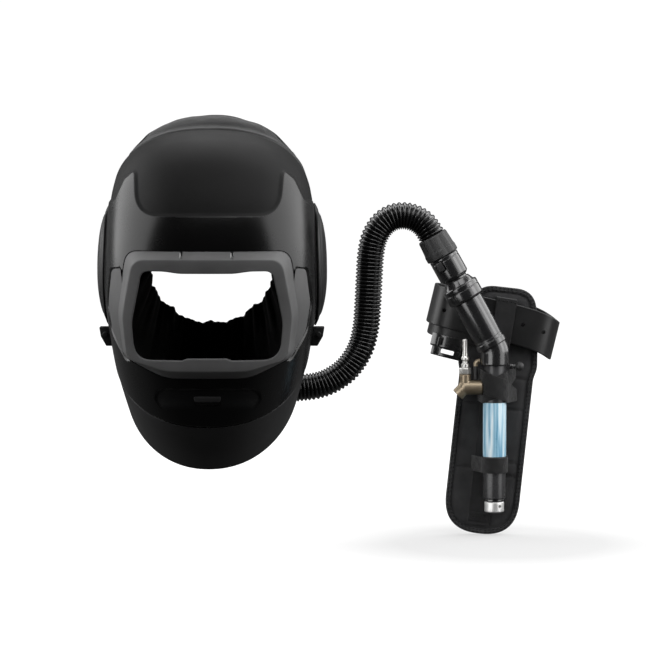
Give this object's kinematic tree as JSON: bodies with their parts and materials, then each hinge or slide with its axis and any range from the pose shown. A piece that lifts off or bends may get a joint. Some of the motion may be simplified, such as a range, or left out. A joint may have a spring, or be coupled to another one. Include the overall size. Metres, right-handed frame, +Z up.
{
  "type": "supplied-air welding helmet",
  "caption": "Full-face welding helmet with flip-up lens frame, fabric head cover and face seal, corrugated air hose, and tube-shaped air regulator strapped to a padded belt carrier.",
  "frame": {"origin": "crown seat: where the top of the head meets the inner face of the head cover", "axes": "+Z up, the face looks along -Y, +X towards the viewer's right, where the hose leads to the regulator"},
  "size_m": [0.5443, 0.3624, 0.4973],
  "materials": {
    "shell": "satin with a gloss brow band",
    "matte": "matte",
    "frame": "matte",
    "gloss": "gloss",
    "rubber": "semi-gloss",
    "cloth": "woven",
    "webbing": "woven nylon",
    "leather": "smooth matte",
    "label": "metallic film, no print",
    "brass": "satin",
    "steel": "polished"
  },
  "bodies": {
    "helmet_and_regulator": {"outer_shell": "shell", "chin_guard": "matte", "chin_tab": "matte", "side_cover_left": "matte", "side_clip_left": "rubber", "side_cover_right": "matte", "side_clip_right": "rubber", "head_cover": "cloth", "face_seal": "cloth", "air_duct": "matte", "inlet_cuff": "rubber", "breathing_hose": "rubber", "hose_collar": "matte", "coupling_body": "gloss", "coupling_latch": "matte", "socket_ring": "gloss", "silencer_tube": "gloss", "elbow": "gloss", "regulator_tube": "matte", "label_sleeve": "label", "tube_end_ring": "gloss", "exhaust_plug": "steel", "valve_stem": "gloss", "wrap_strap": "webbing", "lower_strap": "webbing", "wye_fitting": "brass", "nipple_nut": "steel", "air_nipple": "steel", "elbow_fitting": "brass", "back_pad": "webbing", "pad_binding": "webbing", "center_webbing": "webbing", "pull_tab": "webbing", "belt": "leather", "belt_inner_end": "leather", "belt_buckle": "gloss", "belt_loop": "webbing"},
    "lens_frame": {"lens_frame": "frame"},
    "flow_knob": {"flow_knob": "rubber"}
  },
  "joints": [
    {"name": "frame_flip", "type": "hinge", "parent": "helmet_and_regulator", "child": "lens_frame", "pos_m": [0, -0.16274, -0.1554], "axis": [-1, 0, 0], "range_deg": [0, 90]},
    {"name": "knob_turn", "type": "hinge", "parent": "helmet_and_regulator", "child": "flow_knob", "pos_m": [0.3592, 0.066, -0.2923], "axis": [1, 0, 0], "range_deg": [-135, 135]}
  ]
}
